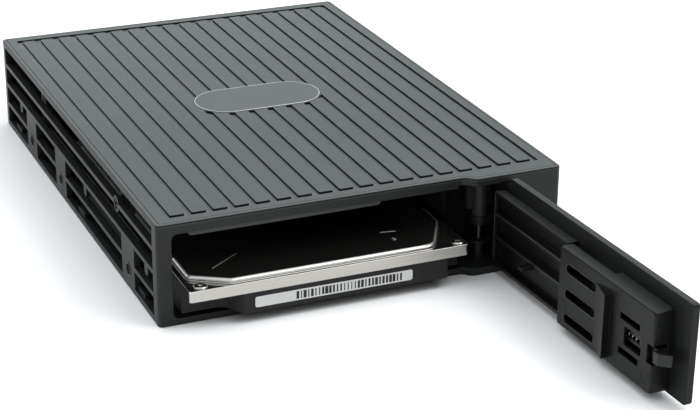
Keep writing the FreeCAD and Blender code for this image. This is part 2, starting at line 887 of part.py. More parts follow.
def drive_board():
    return box(drive_x0 + pcb_side + pcb_gap, drive_x1 - pcb_side - pcb_gap, drive_y0 + pcb_front + pcb_gap,
               plug_y - 2 * pcb_gap, drive_z + pcb_gap, drive_z + pcb_gap + pcb_t)


def drive_connector():
    x0 = plug_x + plug_side
    x1 = plug_x + plug_w - plug_side
    z0 = drive_z + plug_z0
    strip = box(x0, x1, plug_y, plug_y + plug_strip_d, z0, z0 + plug_strip_h)
    zt = drive_z + tongue_z
    tongue = box(plug_x + tongue_side, plug_x + plug_w - tongue_side, plug_y + plug_strip_d,
                 drive_y1 - tongue_end, zt, zt + tongue_t)
    return joined(strip, tongue)


def drive_label():
    y1 = drive_y0 + cast_in
    x0 = drive_x0 + label_x0
    z0 = drive_z + label_z
    return rounded(box(x0, x0 + label_w, y1 - label_t, y1, z0, z0 + label_h), label_r, ALONG_Y)


def save(name, shape, on_door=False):
    """Swing door pieces open, move the origin to the middle of the base and write the piece."""
    placed = shape.copy()
    if on_door:
        placed.rotate(V(hinge_x, hinge_y, 0), ALONG_Z, open_deg)
    placed.translate(V(-width / 2, -length / 2, 0))
    placed.exportStep("parts/" + name + ".step")


save("chassis", chassis())
save("top_cover", top_cover())
save("badge_plate", badge_plate())
save("cover_screws", cover_screws())
save("hinge_pin", hinge_pin())
save("backplane_board", backplane_board())
save("board_screws", board_screws())
save("drive_socket", drive_socket())
save("data_port", port(data_x0, data_w))
save("power_port", port(power_x0, power_w))
save("door_panel", door_panel(), True)
save("door_inner_cover", door_inner_cover(), True)
save("latch_slider", latch_slider(), True)
save("latch_spring", latch_spring(), True)
save("latch_button", latch_button(), True)
save("drive_base", drive_base())
save("drive_top_cover", drive_top_cover())
save("drive_cover_screws", drive_cover_screws())
save("drive_board", drive_board())
save("drive_connector", drive_connector())
save("drive_label", drive_label())
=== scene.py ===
# %% [markdown]
# # A drive rack with its door open
# The rack is a black moulded box for a computer's drive bay. Its lid is ribbed, its sides are open
# lattices, and a bare drive slides in behind a swing door. The solid pieces come from the packed
# frame. This script gives them their finishes and adds the fine things that solids leave out.

# %% load the frame
import json
import math

import bmesh
import bpy
from mathutils import Matrix, Vector


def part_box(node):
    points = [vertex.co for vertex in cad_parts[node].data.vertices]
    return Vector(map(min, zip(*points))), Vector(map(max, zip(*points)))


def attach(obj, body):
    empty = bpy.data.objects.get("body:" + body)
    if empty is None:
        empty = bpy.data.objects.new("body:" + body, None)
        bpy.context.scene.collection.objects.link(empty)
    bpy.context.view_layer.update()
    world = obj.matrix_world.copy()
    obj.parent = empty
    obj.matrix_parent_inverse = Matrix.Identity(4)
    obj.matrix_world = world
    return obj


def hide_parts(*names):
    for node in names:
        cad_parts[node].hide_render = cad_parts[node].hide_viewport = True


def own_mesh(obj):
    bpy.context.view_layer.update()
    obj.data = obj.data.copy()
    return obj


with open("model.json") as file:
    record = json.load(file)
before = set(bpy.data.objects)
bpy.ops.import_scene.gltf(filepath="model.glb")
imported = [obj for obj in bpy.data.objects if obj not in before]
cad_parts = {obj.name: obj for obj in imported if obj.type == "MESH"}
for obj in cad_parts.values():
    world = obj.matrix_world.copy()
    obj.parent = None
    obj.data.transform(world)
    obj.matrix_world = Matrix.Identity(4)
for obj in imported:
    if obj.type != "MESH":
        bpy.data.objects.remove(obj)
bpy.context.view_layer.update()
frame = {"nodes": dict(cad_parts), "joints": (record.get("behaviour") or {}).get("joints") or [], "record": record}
nodes = frame["nodes"]
mm = 0.001

# %% [markdown]
# ## Camera
# The photograph was taken from the left, about 23 degrees up, with a long lens. The place and the
# turn of the camera were worked out from the corners of the box, so the picture lines up by itself.
# A camera looks along its own -Z, so its three axes go straight into the matrix.

# %% camera
cam_place = Vector((-163.4, -439.6, 195.2)) * mm
cam_right = Vector((0.91881, -0.39462, 0.00839))
cam_up = Vector((0.14853, 0.36538, 0.91893))
cam_back = cam_right.cross(cam_up).normalized()
cam_up = cam_back.cross(cam_right).normalized()
focal_px = 1882.2
picture_wide = 700


def new_object(name, data):
    """An object in the scene."""
    made = bpy.data.objects.new(name, data)
    bpy.context.collection.objects.link(made)
    return made


camera = new_object("camera", bpy.data.cameras.new("camera"))
camera.data.sensor_width = 36
camera.data.lens = focal_px / picture_wide * camera.data.sensor_width
camera.data.clip_start = 0.01
turn = Matrix((cam_right, cam_up, cam_back)).transposed()
camera.matrix_world = Matrix.Translation(cam_place) @ turn.to_4x4()
bpy.context.scene.camera = camera
print("lens", round(camera.data.lens, 2))

# %% [markdown]
# ## Shared effects
# Moulded plastic is never quite even: the mould is etched to a fine grain, and handling leaves soft
# patches that shine a little more. Faces that look up get a painted sheen. Several finishes use
# these, so each is a node group with named inputs. A group gives out only values; the shader itself
# stays in each material.


# %% node helpers
def new_group(name, inputs, outputs):
    """An empty shader group with float inputs (name, value) and outputs: its tree, and both as sockets."""
    tree = bpy.data.node_groups.new(name, "ShaderNodeTree")
    for label, value in inputs:
        socket = tree.interface.new_socket(name=label, in_out="INPUT", socket_type="NodeSocketFloat")
        socket.default_value = value
    for label in outputs:
        tree.interface.new_socket(name=label, in_out="OUTPUT", socket_type="NodeSocketFloat")
    return tree, tree.nodes.new("NodeGroupInput").outputs, tree.nodes.new("NodeGroupOutput").inputs


def add(tree, kind, **values):
    """A node with its properties and its input values set by name."""
    node = tree.nodes.new(kind)
    for key, value in values.items():
        if hasattr(node, key):
            setattr(node, key, value)
        else:
            node.inputs[key.replace("_", " ")].default_value = value
    return node


def join(tree, *pairs):
    """Link each outlet to its inlet."""
    for outlet, inlet in pairs:
        tree.links.new(outlet, inlet)


# %% helpers for places
def parts_of(tree, outlet):
    """The X, Y and Z of a vector."""
    node = add(tree, "ShaderNodeSeparateXYZ")
    tree.links.new(outlet, node.inputs[0])
    return node.outputs


def facing(tree):
    """The X, Y and Z of the way that a face looks."""
    return parts_of(tree, add(tree, "ShaderNodeNewGeometry").outputs["Normal"])


def place_on(tree):
    """The X, Y and Z of a point's place on its piece."""
    return parts_of(tree, add(tree, "ShaderNodeTexCoord").outputs["Object"])


def scaled_place(tree, given, label):
    """Object coordinates times one of the group's inputs."""
    place = add(tree, "ShaderNodeTexCoord")
    scale = add(tree, "ShaderNodeVectorMath", operation="SCALE")
    join(tree, (place.outputs["Object"], scale.inputs[0]), (given[label], scale.inputs["Scale"]))
    return scale.outputs[0]


# %% helpers for values
def spread(tree, value, low, high):
    """Map a 0 to 1 value to the range low to high, given as sockets or numbers."""
    node = add(tree, "ShaderNodeMapRange")
    tree.links.new(value, node.inputs["Value"])
    for key, end in (("To Min", low), ("To Max", high)):
        if isinstance(end, (int, float)):
            node.inputs[key].default_value = end
        else:
            tree.links.new(end, node.inputs[key])
    return node.outputs["Result"]


def step_mask(tree, value, start, end):
    """0 at start and 1 at end, smooth between."""
    node = add(tree, "ShaderNodeMapRange", interpolation_type="SMOOTHSTEP", From_Min=start, From_Max=end)
    tree.links.new(value, node.inputs["Value"])
    return node.outputs["Result"]


def product(tree, *values):
    """All the values multiplied; of masks, where they overlap."""
    result = values[0]
    for value in values[1:]:
        node = add(tree, "ShaderNodeMath", operation="MULTIPLY")
        join(tree, (result, node.inputs[0]), (value, node.inputs[1]))
        result = node.outputs[0]
    return result


# %% mould grain
cell_share = 0.5


def make_mould_grain():
    """Fine etched grain: small noise over smaller cells."""
    tree, given, result = new_group("mould_grain", [("Scale", 2200.0)], ["Height", "Tone"])
    place = scaled_place(tree, given, "Scale")
    noise = add(tree, "ShaderNodeTexNoise", Scale=1.0, Detail=3.0, Roughness=0.6)
    cells = add(tree, "ShaderNodeTexVoronoi", Scale=1.6)
    mixed = add(tree, "ShaderNodeMath", operation="MULTIPLY_ADD")
    mixed.inputs[1].default_value = cell_share
    join(
        tree,
        (place, noise.inputs["Vector"]),
        (place, cells.inputs["Vector"]),
        (cells.outputs["Distance"], mixed.inputs[0]),
        (noise.outputs["Fac"], mixed.inputs[2]),
        (mixed.outputs[0], result["Height"]),
        (noise.outputs["Fac"], result["Tone"]),
    )
    return tree


mould_grain = make_mould_grain()
print("group:", mould_grain.name)


# %% handling
def make_handling():
    """Soft uneven patches from handling, a few centimetres wide, with finer flecks."""
    inputs = [("Scale", 45.0), ("Low", 0.4), ("High", 0.5)]
    tree, given, result = new_group("handling", inputs, ["Value"])
    noise = add(tree, "ShaderNodeTexNoise", Scale=1.0, Detail=6.0, Roughness=0.62)
    tree.links.new(scaled_place(tree, given, "Scale"), noise.inputs["Vector"])
    value = spread(tree, noise.outputs["Fac"], given["Low"], given["High"])
    tree.links.new(value, result["Value"])
    return tree


handling = make_handling()
print("group:", handling.name)

# %% painted sheen
# The painted sheen is weaker towards the front and full at the back.
sheen_in_front = 0.73
sheen_thin_y = -30 * mm
sheen_full_y = 70 * mm


def make_painted_sheen():
    """A mask of the faces that look up, where a sheen is painted: a little uneven, stronger at the back."""
    inputs = [("Scale", 160.0), ("Amount", 0.5), ("Lowest", -1.0)]
    tree, given, result = new_group("painted_sheen", inputs, ["Mask"])
    up = step_mask(tree, facing(tree)["Z"], 0.55, 0.95)
    place = place_on(tree)
    open_above = add(tree, "ShaderNodeMath", operation="GREATER_THAN")
    noise = add(tree, "ShaderNodeTexNoise", Scale=1.0, Detail=5.0, Roughness=0.6)
    uneven = spread(tree, noise.outputs["Fac"], 0.88, 1.12)
    back = add(
        tree, "ShaderNodeMapRange", From_Min=sheen_thin_y, From_Max=sheen_full_y,
        To_Min=sheen_in_front, To_Max=1.0,
    )
    sheen_share = product(
        tree, product(tree, up, open_above.outputs[0]), product(tree, uneven, back.outputs["Result"])
    )
    mask = add(tree, "ShaderNodeMath", operation="MULTIPLY", use_clamp=True)
    join(
        tree,
        (scaled_place(tree, given, "Scale"), noise.inputs["Vector"]),
        (place["Z"], open_above.inputs[0]),
        (given["Lowest"], open_above.inputs[1]),
        (place["Y"], back.inputs["Value"]),
        (sheen_share, mask.inputs[0]),
        (given["Amount"], mask.inputs[1]),
        (mask.outputs[0], result["Mask"]),
    )
    return tree


painted_sheen = make_painted_sheen()
print("group:", painted_sheen.name)

# %% [markdown]
# ## Finishes
# Shell, lid and door are taken as the same black plastic, and the inside of the door as a smoother one.
# In the photograph all that looks up is gray and all that stands upright is black. A painted sheen
# gives that: faces that look up are painted lighter, more so at the back, and painted light at the feet of the
# lid's ribs fills the shade that falls there. The dust is a guess, but with it upright faces stay black and the
# grooves keep their sharp dark lines. A mask of the sheen mixes the two tones, and nothing is painted by hand.


# %% material helpers
def use_group(tree, group, **values):
    """A shared effect, placed in a material with its own values."""
    node = tree.nodes.new("ShaderNodeGroup")
    node.node_tree = group
    for key, value in values.items():
        node.inputs[key].default_value = value
    return node


def new_material(name):
    """A material with its node tree and its shader."""
    material = bpy.data.materials.new(name)
    material.use_nodes = True
    tree = material.node_tree
    return material, tree, tree.nodes["Principled BSDF"]


def tone_ramp(tree, value, dark, light):
    """A colour between dark and light, picked by a value. Each is a colour or a socket."""
    mix = add(tree, "ShaderNodeMix", data_type="RGBA")
    for inlet, tone in ((mix.inputs[6], dark), (mix.inputs[7], light)):
        if isinstance(tone, tuple):
            inlet.default_value = (*tone, 1)
        else:
            tree.links.new(tone, inlet)
    tree.links.new(value, mix.inputs[0])
    return mix.outputs[2]


def bump(tree, shader, height, strength, depth, edge=0.0):
    """Fine relief on the surface. Edge is the radius over which sharp edges catch the light."""
    node = add(tree, "ShaderNodeBump", Strength=strength, Distance=depth)
    tree.links.new(height, node.inputs["Height"])
    if edge:
        soft_edge = add(tree, "ShaderNodeBevel", samples=6, Radius=edge)
        tree.links.new(soft_edge.outputs["Normal"], node.inputs["Normal"])
    tree.links.new(node.outputs["Normal"], shader.inputs["Normal"])


# %% plastic
grain_deep = 0.06 * mm
uneven_shine = 0.05
foot_light_reach = 1.2 * mm


def openness(tree, reach):
    """1 on an open face, less where other faces stand within reach."""
    return add(tree, "ShaderNodeAmbientOcclusion", samples=8, Distance=reach).outputs["AO"]


def with_painted_sheen(tree, tone, sheen_tone, amount, lowest, foot_light_tone=None):
    """A tone with a painted sheen on faces that look up above the lowest height, and painted light at the foot of
    walls where shade falls, if that has a tone.
    """
    if foot_light_tone:
        # Painted light at the foot of walls, where their shade falls.
        foot_lift = add(tree, "ShaderNodeMapRange", From_Min=1.0, From_Max=0.5)
        tree.links.new(openness(tree, foot_light_reach), foot_lift.inputs["Value"])
        sheen_tone = tone_ramp(tree, foot_lift.outputs["Result"], sheen_tone, foot_light_tone)
    sheen_share = use_group(tree, painted_sheen, Amount=amount, Lowest=lowest)
    return tone_ramp(tree, sheen_share.outputs["Mask"], tone, sheen_tone)


def moulded_plastic(name, dark, light, rough, gloss, grain=2200.0, strength=0.25, edge=0.0, top_sheen=None):
    """Etched plastic between two tones; gloss is the level of its highlight, 0.5 for bare plastic.
    Top sheen is what with_painted_sheen() asks for after the tone: a painted sheen on faces that look up."""
    material, tree, shader = new_material(name)
    shader.inputs["Specular IOR Level"].default_value = gloss
    texture = use_group(tree, mould_grain, Scale=grain)
    worn = use_group(tree, handling, Low=rough - uneven_shine, High=rough + uneven_shine)
    tone = tone_ramp(tree, texture.outputs["Tone"], dark, light)
    if top_sheen:
        tone = with_painted_sheen(tree, tone, *top_sheen)
    join(tree, (tone, shader.inputs["Base Color"]), (worn.outputs["Value"], shader.inputs["Roughness"]))
    bump(tree, shader, texture.outputs["Height"], strength, grain_deep, edge)
    return material


# %% plastics of the rack
# Painted sheen tones for faces that look up, and painted light for the feet of the lid's ribs.
lid_sheen = (0.172, 0.190, 0.188)
rib_foot_light = (0.41, 0.45, 0.445)
door_sheen = (0.060, 0.063, 0.063)
open_top = 24.2 * mm
door_top = 19.5 * mm
shell_black = moulded_plastic(
    "shell_black", (0.011, 0.012, 0.012), (0.019, 0.020, 0.020), 0.48, 0.3,
    edge=0.2 * mm, top_sheen=(lid_sheen, 0.95, open_top),
)
lid_black = moulded_plastic(
    "lid_black", (0.007, 0.008, 0.008), (0.012, 0.013, 0.013), 0.52, 0.22,
    top_sheen=(lid_sheen, 0.95, 0.0, rib_foot_light),
)
panel_black = moulded_plastic(
    "panel_black", (0.008, 0.0084, 0.0084), (0.013, 0.0134, 0.0134), 0.5, 0.2,
    top_sheen=(door_sheen, 1.0 / sheen_in_front, open_top),
)
door_black = moulded_plastic(
    "door_black", (0.005, 0.0052, 0.0053), (0.009, 0.0092, 0.0093), 0.40, 0.2, 1500.0, 0.12,
    top_sheen=(door_sheen, 0.7 / sheen_in_front, door_top),
)
# The badge's top gets a painted sheen as well.
badge_satin = moulded_plastic(
    "badge_satin", (0.016, 0.018, 0.019), (0.026, 0.029, 0.030), 0.4, 0.35, 2600.0, 0.2,
    top_sheen=((0.136, 0.152, 0.155), 0.95, 0.0),
)
print("dusted:", shell_black.name, lid_black.name, panel_black.name, door_black.name, badge_satin.name)

# %% small plastics and the casting's coat
bolt_gray = moulded_plastic(
    "bolt_gray", (0.010, 0.0105, 0.0105), (0.016, 0.0165, 0.0165), 0.4, 0.35, 1500.0, 0.12
)
socket_black = moulded_plastic(
    "socket_black", (0.008, 0.008, 0.009), (0.014, 0.014, 0.015), 0.38, 0.3, 3000.0, 0.1
)
casting = moulded_plastic(
    "casting_coat", (0.008, 0.008, 0.008), (0.020, 0.020, 0.020), 0.5, 0.25, 1200.0, 0.35, edge=0.2 * mm
)
print("bare:", bolt_gray.name, socket_black.name, casting.name)

# %% [markdown]
# ## Metals
# The drive's cover is bright rolled sheet: fine lines along one way, and a mirror that is a little
# smeared. Screws and pin are plated wire. Noise that is squeezed along X gives the lines, and the
# same noise sets how rough the metal is, so that both change together as they do on real sheet.

# %% rolled lines
along_lines = 0.02


def make_rolled_lines():
    """Fine lines along X, as left by rollers."""
    inputs = [("Scale", 900.0), ("Low", 0.2), ("High", 0.3)]
    tree, given, result = new_group("rolled_lines", inputs, ["Height", "Rough"])
    squeeze = add(tree, "ShaderNodeVectorMath", operation="MULTIPLY")
    squeeze.inputs[1].default_value = (along_lines, 1.0, 1.0)
    noise = add(tree, "ShaderNodeTexNoise", Scale=1.0, Detail=4.0, Roughness=0.55)
    rough = spread(tree, noise.outputs["Fac"], given["Low"], given["High"])
    join(
        tree,
        (scaled_place(tree, given, "Scale"), squeeze.inputs[0]),
        (squeeze.outputs[0], noise.inputs["Vector"]),
        (noise.outputs["Fac"], result["Height"]),
        (rough, result["Rough"]),
    )
    return tree


rolled_lines = make_rolled_lines()
print("group:", rolled_lines.name)

# %% metals
line_deep = 0.02 * mm
line_strength = 0.05


def sheet_metal(name, dark, light, low, high, lines=900.0, metallic=1.0):
    """Rolled or drawn metal between two tones, with a roughness between low and high."""
    material, tree, shader = new_material(name)
    texture = use_group(tree, rolled_lines, Scale=lines, Low=low, High=high)
    shader.inputs["Metallic"].default_value = metallic
    tone = tone_ramp(tree, texture.outputs["Height"], dark, light)
    join(tree, (tone, shader.inputs["Base Color"]), (texture.outputs["Rough"], shader.inputs["Roughness"]))
    bump(tree, shader, texture.outputs["Height"], line_strength, line_deep)
    return material


lid_steel = sheet_metal(
    "lid_steel", (0.41, 0.393, 0.366), (0.53, 0.508, 0.472), 0.12, 0.22, metallic=0.98
)
screw_steel = sheet_metal("screw_steel", (0.62, 0.61, 0.58), (0.78, 0.77, 0.74), 0.16, 0.28, 3000.0)
pin_steel = sheet_metal("pin_steel", (0.06, 0.06, 0.06), (0.10, 0.10, 0.10), 0.4, 0.5, 3000.0)
coil_steel = sheet_metal("coil_steel", (0.30, 0.30, 0.29), (0.42, 0.42, 0.41), 0.28, 0.4, 3000.0)
contact_gold = sheet_metal("contact_gold", (0.60, 0.42, 0.16), (0.75, 0.54, 0.22), 0.25, 0.35, 3000.0)
dark_screw = sheet_metal("dark_screw", (0.05, 0.05, 0.05), (0.09, 0.09, 0.09), 0.3, 0.42, 3000.0)
rim_bright = sheet_metal("rim_bright", (0.62, 0.64, 0.65), (0.80, 0.82, 0.83), 0.3, 0.4, 2600.0)
print("metals:", lid_steel.name, screw_steel.name, pin_steel.name, rim_bright.name)

# %% [markdown]
# ## Painted shade and highlights, and a seam
# A finish isn't the same all over. Shade is painted into the folds of the drive's cover, its pressed shoulder
# gets a paler tone, a painted highlight, and its flanks and screws are painted dark as shade. The inside of the
# bay is matt and painted dark as shade, and a dark seam runs along the front under the lid, with a painted
# highlight along its lower edge. Each of these has a mask, made from the way a face looks, from its place, or from
# the walls beside it, and the finish is blended to another tone and roughness there. That keeps one material on
# each solid.


# %% masks
def blend_where(material, mask, tone, rough):
    """Blend a finish to another tone and roughness where a mask is 1."""
    tree = material.node_tree
    shader = tree.nodes["Principled BSDF"]
    old_tone = shader.inputs["Base Color"].links[0].from_socket
    old_rough = shader.inputs["Roughness"].links[0].from_socket
    tree.links.new(tone_ramp(tree, mask, old_tone, tone), shader.inputs["Base Color"])
    tree.links.new(spread(tree, mask, old_rough, rough), shader.inputs["Roughness"])


def flank_mask(tree, start, end):
    """Faces that look to -X, which are painted dark as shade."""
    return step_mask(tree, facing(tree)["X"], start, end)


def shoulder_highlight_mask(tree):
    """Faces that turn from level to upright on a pressed sheet, where a highlight is painted."""
    up = facing(tree)["Z"]
    return product(tree, step_mask(tree, up, 0.995, 0.96), step_mask(tree, up, 0.1, 0.3))


def fold_shade_mask(tree, reach):
    """Inner corners, where a wall stands close to a face: painted shade goes there."""
    return step_mask(tree, openness(tree, reach), 0.92, 0.62)


def inside_mask(tree, low, high, soft=0.3 * mm):
    """Whatever lies between two corners of a box, with soft edges."""
    place = place_on(tree)
    sides = []
    for axis, first, last in zip("XYZ", low, high):
        sides.append(step_mask(tree, place[axis], first, first + soft))
        sides.append(step_mask(tree, place[axis], last, last - soft))
    return product(tree, *sides)


# %% places in the rack
rack_deep = 143.2


def corners_of(name):
    """The lowest and the highest corner of a solid's box."""
    return [Vector(corner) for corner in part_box(name)]


shell_low, shell_high = corners_of("chassis")
left_front = Vector((shell_low.x, shell_high.y - rack_deep * mm, 0.0))
print("left front corner:", [round(value / mm, 1) for value in left_front])


def rack_place(x, y, z):
    """A place in the rack, in millimetres from its left front lower corner."""
    return left_front + Vector((x, y, z)) * mm


# %% inside of the bay, and the seam under the lid
# The inside of the bay is painted dark as shade, and made matt.
shaded_bay = (rack_place(1.3, 11.0, 1.0), rack_place(100.3, 141.0, 24.0))
shell_tree = shell_black.node_tree
blend_where(shell_black, inside_mask(shell_tree, *shaded_bay), (0.002, 0.002, 0.002), 0.8)
seam_soft = 0.06 * mm
seam_left, seam_right, seam_deep = 0.8, 100.8, 4.0
# A dark seam, and under it a band of painted highlight.
seam_and_highlight_bands = ((24.95, 25.27, (0.003, 0.003, 0.003)), (24.7, 24.95, (0.055, 0.057, 0.057)))
for bottom, top, tone in seam_and_highlight_bands:
    ends = (rack_place(seam_left, -seam_deep, bottom), rack_place(seam_right, seam_deep, top))
    blend_where(shell_black, inside_mask(shell_tree, *ends, seam_soft), tone, 0.6)
print("bands of the seam:", len(seam_and_highlight_bands))

# %% painted shade and highlights on metal
# Painted shade on the flanks of the drive's cover and its screws.
flank_shade = (0.05, 0.05, 0.05)


def shade_flanks(material):
    """Paint shade on the flanks everywhere, and inside the bay also on what only leans to -X."""
    tree = material.node_tree
    blend_where(material, flank_mask(tree, -0.8, -0.97), flank_shade, 0.5)
    leaning_shade = product(tree, inside_mask(tree, *shaded_bay), flank_mask(tree, -0.1, -0.4))
    blend_where(material, leaning_shade, flank_shade, 0.5)


# Painted shade in the folds of the drive's cover.
blend_where(lid_steel, fold_shade_mask(lid_steel.node_tree, 0.9 * mm), (0.04, 0.037, 0.034), 0.4)
# A painted highlight on the pressed shoulder, with a rougher finish.
blend_where(lid_steel, shoulder_highlight_mask(lid_steel.node_tree), (0.86, 0.84, 0.80), 0.36)
shade_flanks(lid_steel)
shade_flanks(screw_steel)
# These metals carry painted shade and a painted highlight.
print("worn:", lid_steel.name, screw_steel.name)

# %% [markdown]
# ## Board and label
# A circuit board is laminate under a dark green lacquer, with copper runs that show through as slightly
# lighter bands. A brick pattern is near enough to such runs. The label is white film with a faint fibre.

# %% board and label
run_deep = 0.03 * mm


def board_lacquer(name):
    """Dark green lacquer, a little lighter over the copper runs."""
    material, tree, shader = new_material(name)
    shader.inputs["Specular IOR Level"].default_value = 0.15
    place = add(tree, "ShaderNodeTexCoord")
    runs = add(
        tree, "ShaderNodeTexBrick", Scale=420.0, Mortar_Size=0.03, Color1=(0.004, 0.014, 0.008, 1),
        Color2=(0.005, 0.018, 0.010, 1), Mortar=(0.010, 0.032, 0.017, 1),
    )
    worn = use_group(tree, handling, Low=0.45, High=0.6)
    join(
        tree,
        (place.outputs["Object"], runs.inputs["Vector"]),
        (runs.outputs["Color"], shader.inputs["Base Color"]),
        (worn.outputs["Value"], shader.inputs["Roughness"]),
    )
    bump(tree, shader, runs.outputs["Fac"], 0.2, run_deep)
    return material


board_dark = board_lacquer("board_dark")
label_white = moulded_plastic("label_white", (0.84, 0.84, 0.83), (0.90, 0.90, 0.89), 0.35, 0.5, 900.0, 0.05)
ink_black = moulded_plastic("ink_black", (0.010, 0.010, 0.010), (0.020, 0.020, 0.020), 0.5, 0.4, 900.0, 0.05)
print("board and label:", board_dark.name, label_white.name, ink_black.name)

# %% [markdown]
# ## Dress the solids
# Each solid takes the finish of its own slot. A moulding never has a knife edge, though: its edges are
# rounded over by a tenth of a millimetre and catch a thin line of light. The solids are loose
# triangles, so a copy is merged into whole faces first, and a Bevel modifier then rounds its sharp
# edges. Shell, lid and casting are cut too finely for that and stay as they are: the shader softens the
# edges of shell and casting instead. Small plain pieces stay as they are too.

# %% assign finishes
finishes = {
    "chassis": shell_black, "top_cover": lid_black, "badge_plate": badge_satin,
    "cover_screws": dark_screw, "hinge_pin": pin_steel, "backplane_board": board_dark,
    "board_screws": screw_steel, "drive_socket": socket_black, "data_port": socket_black,
    "power_port": socket_black, "door_panel": panel_black, "door_inner_cover": door_black,
    "latch_spring": pin_steel, "latch_slider": bolt_gray, "latch_button": panel_black,
    "drive_base": casting, "drive_top_cover": lid_steel, "drive_cover_screws": screw_steel,
    "drive_board": board_dark, "drive_connector": socket_black, "drive_label": label_white,
}
for name, material in finishes.items():
    nodes[name].data.materials.clear()
    nodes[name].data.materials.append(material)
print("dressed:", len(finishes))

# %% bodies of the solids
record = frame["record"]
body_of = {name: body for body, names in record["behaviour"]["bodies"].items() for name in names}
print("bodies:", sorted(set(body_of.values())))

# %% whole faces
same_spot = 1e-6
flat_angle = 0.01


def merged(name):
    """A solid's triangles with their loose corners merged."""
    shape = bmesh.new()
    shape.from_mesh(nodes[name].data)
    bmesh.ops.remove_doubles(shape, verts=shape.verts, dist=same_spot)
    return shape


def to_mesh(shape, name):
    """A plain mesh of a shape."""
    mesh = bpy.data.meshes.new(name)
    shape.to_mesh(mesh)
    shape.free()
    return mesh


def whole_faces(name):
    """The solid's mesh with its triangles merged into whole faces."""
    shape = merged(name)
    bmesh.ops.dissolve_limit(shape, angle_limit=flat_angle, verts=shape.verts, edges=shape.edges)
    mesh = to_mesh(shape, name + "_rounded")
    mesh.shade_smooth()
    return mesh


# %% rounded copies
sharp_angle = math.radians(35)


def round_edges(name, width, flatness):
    """A copy of a solid whose sharp edges are rounded over by width."""
    piece = new_object(name + "_rounded", whole_faces(name))
    piece.data.materials.append(finishes[name])
    bevel = piece.modifiers.new("rounded edges", "BEVEL")
    bevel.width = width
    bevel.segments = 2
    bevel.limit_method = "ANGLE"
    bevel.angle_limit = sharp_angle
    bevel.use_clamp_overlap = False
    flat = piece.modifiers.new("flat faces stay flat", "WEIGHTED_NORMAL")
    flat.weight = flatness
    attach(piece, body_of[name])
    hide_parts(name)


edge_widths = {
    "door_panel": 0.15, "door_inner_cover": 0.12, "drive_top_cover": 0.12, "latch_slider": 0.08,
    "latch_button": 0.12, "data_port": 0.10, "power_port": 0.10, "drive_socket": 0.10,
    "drive_connector": 0.08, "backplane_board": 0.08,
}
moulded_flatness = 100
pressed_flatness = {"drive_top_cover": 50}
for name, width in edge_widths.items():
    round_edges(name, width * mm, pressed_flatness.get(name, moulded_flatness))
print("rounded:", len(edge_widths))

# %% [markdown]
# ## Small things that repeat
# Bars on the label, contacts, screws, the coil, the rim of the badge and the round marks that the
# mould's pins leave are all one small shape set along a line, a path or a handful of points. That
# is what Geometry Nodes are for: a tree has named inputs, and one tree serves several pieces. Each
# result is turned into a plain mesh at once, because the frame wants plain meshes.


# %% tree helpers
def new_tree(name, inputs):
    """A geometry tree with inputs (name, kind), a finish and one output; and the inputs as sockets."""
    tree = bpy.data.node_groups.new(name, "GeometryNodeTree")
    tree.interface.new_socket(name="Points", in_out="INPUT", socket_type="NodeSocketGeometry")
    for label, kind in inputs + [("Finish", "Material")]:
        tree.interface.new_socket(name=label, in_out="INPUT", socket_type="NodeSocket" + kind)
    tree.interface.new_socket(name="Made", in_out="OUTPUT", socket_type="NodeSocketGeometry")
    return tree, tree.nodes.new("NodeGroupInput").outputs


def close_tree(tree, given, made):
    """Make the instances real, give them the finish and send them out."""
    real = add(tree, "GeometryNodeRealizeInstances")
    dress = add(tree, "GeometryNodeSetMaterial")
    end = tree.nodes.new("NodeGroupOutput")
    join(
        tree,
        (made, real.inputs[0]),
        (real.outputs[0], dress.inputs["Geometry"]),
        (given["Finish"], dress.inputs["Material"]),
        (dress.outputs[0], end.inputs[0]),
    )
    return tree


def grow(name, tree, body, values, points=()):
    """Run a tree on some points and keep the result as a plain mesh that rides on a body."""
    mesh = bpy.data.meshes.new(name)
    mesh.from_pydata([tuple(point) for point in points], [], [])
    piece = new_object(name, mesh)
    modifier = piece.modifiers.new("grow", "NODES")
    modifier.node_group = tree
    for item in tree.interface.items_tree:
        if item.in_out == "INPUT" and item.name in values:
            modifier[item.identifier] = values[item.name]
    graph = bpy.context.evaluated_depsgraph_get()
    piece_mesh = bpy.data.meshes.new_from_object(piece.evaluated_get(graph))
    piece.modifiers.clear()
    piece.data = piece_mesh
    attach(piece, body)
    print(name, "faces:", len(piece_mesh.polygons))
    return piece


# %% [markdown]
# ## Label bars
# The drive's label is a strip of white film with a row of black bars. The bars here are of random
# width from a fixed seed, so they stand for print without meaning anything. A picture on the film
# would blur close up, so they are thin blocks, a fiftieth of a millimetre proud of it.


# %% bar row
def make_bar_row():
    """Blocks along a line, each as wide as a random share of the full width."""
    kinds = [("Count", "Int"), ("First", "Vector"), ("Step", "Vector"), ("Size", "Vector")]
    tree, given = new_tree("bar_row", kinds + [("Narrow", "Float"), ("Seed", "Int")])
    line = add(tree, "GeometryNodeMeshLine", mode="OFFSET")
    block = add(tree, "GeometryNodeMeshCube")
    width = add(tree, "FunctionNodeRandomValue", data_type="FLOAT")
    stretch = add(tree, "ShaderNodeCombineXYZ", Y=1.0, Z=1.0)
    row = add(tree, "GeometryNodeInstanceOnPoints")
    join(
        tree,
        (given["Count"], line.inputs["Count"]),
        (given["First"], line.inputs["Start Location"]),
        (given["Step"], line.inputs["Offset"]),
        (given["Size"], block.inputs["Size"]),
        (given["Narrow"], width.inputs[2]),
        (given["Seed"], width.inputs["Seed"]),
        (width.outputs[1], stretch.inputs["X"]),
        (line.outputs[0], row.inputs["Points"]),
        (block.outputs[0], row.inputs["Instance"]),
        (stretch.outputs[0], row.inputs["Scale"]),
    )
    return close_tree(tree, given, row.outputs[0])


bar_row = make_bar_row()
print("tree:", bar_row.name)


